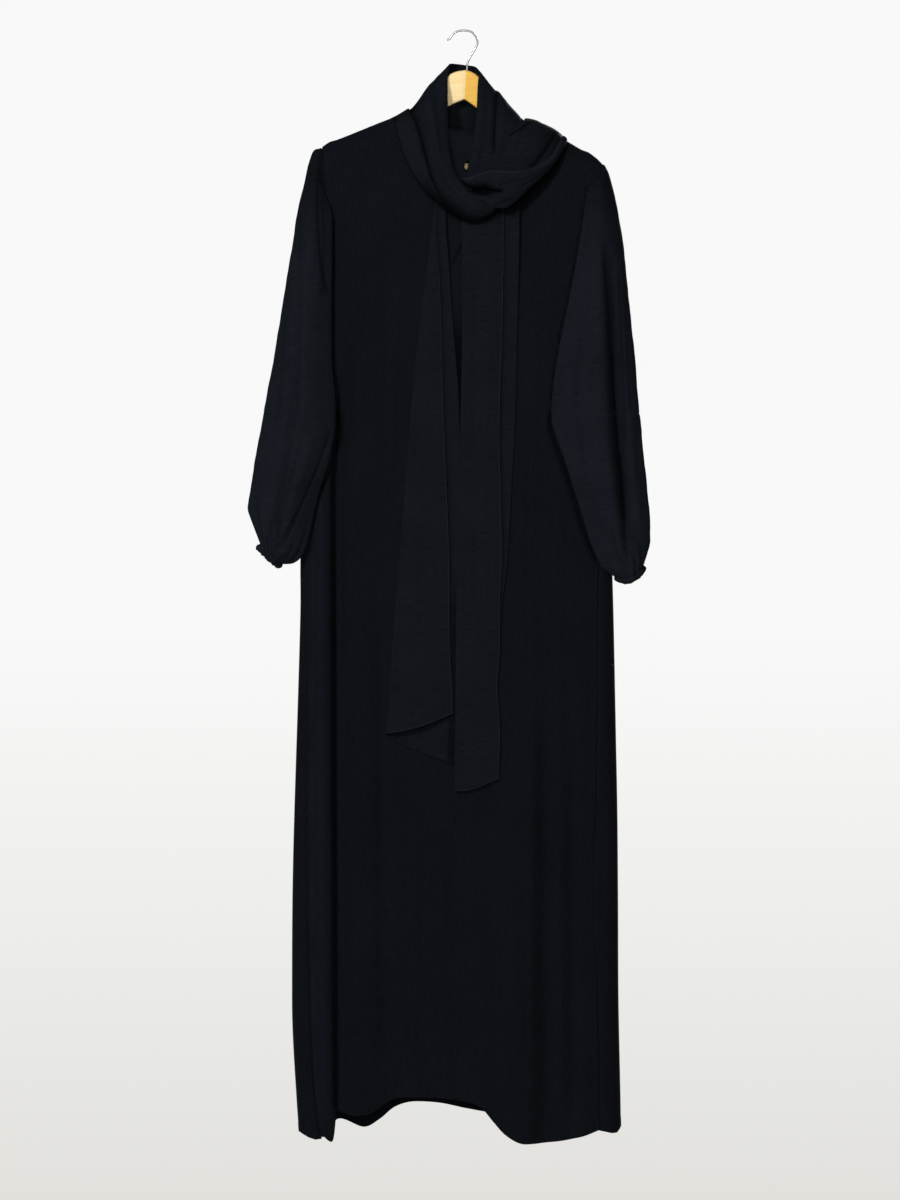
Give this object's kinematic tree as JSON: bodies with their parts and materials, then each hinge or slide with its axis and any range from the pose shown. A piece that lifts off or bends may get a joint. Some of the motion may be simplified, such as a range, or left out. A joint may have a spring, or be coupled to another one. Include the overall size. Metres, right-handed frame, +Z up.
{
  "type": "abaya cloak with a wound scarf, on a wooden hanger",
  "caption": "Closed floor-length black abaya with wide gathered-cuff sleeves and a wound scarf with hanging ends, held flat on a contoured wooden hanger with a steel hook.",
  "frame": {"origin": "the highest point inside the hanger's hook, where the rail or nail bears", "axes": "+Z up; +X to the viewer's right as the garment is seen from its front; the garment's front faces -Y"},
  "size_m": [0.6028, 0.1403, 1.6751],
  "materials": {
    "black_crepe": "matte crinkled crepe",
    "varnished_beech": "clear varnish",
    "polished_steel": "polished"
  },
  "bodies": {
    "root": {"front_panel": "black_crepe", "back_panel": "black_crepe", "sleeve_left": "black_crepe", "sleeve_right": "black_crepe", "cuff_left": "black_crepe", "cuff_right": "black_crepe", "scarf_back": "black_crepe", "scarf_left": "black_crepe", "scarf_right": "black_crepe", "scarf_flap": "black_crepe", "scarf_shoulder": "black_crepe", "tail_left": "black_crepe", "tail_right": "black_crepe", "hanger_wood": "varnished_beech", "hanger_bar": "varnished_beech", "hanger_hook": "polished_steel"}
  },
  "joints": []
}
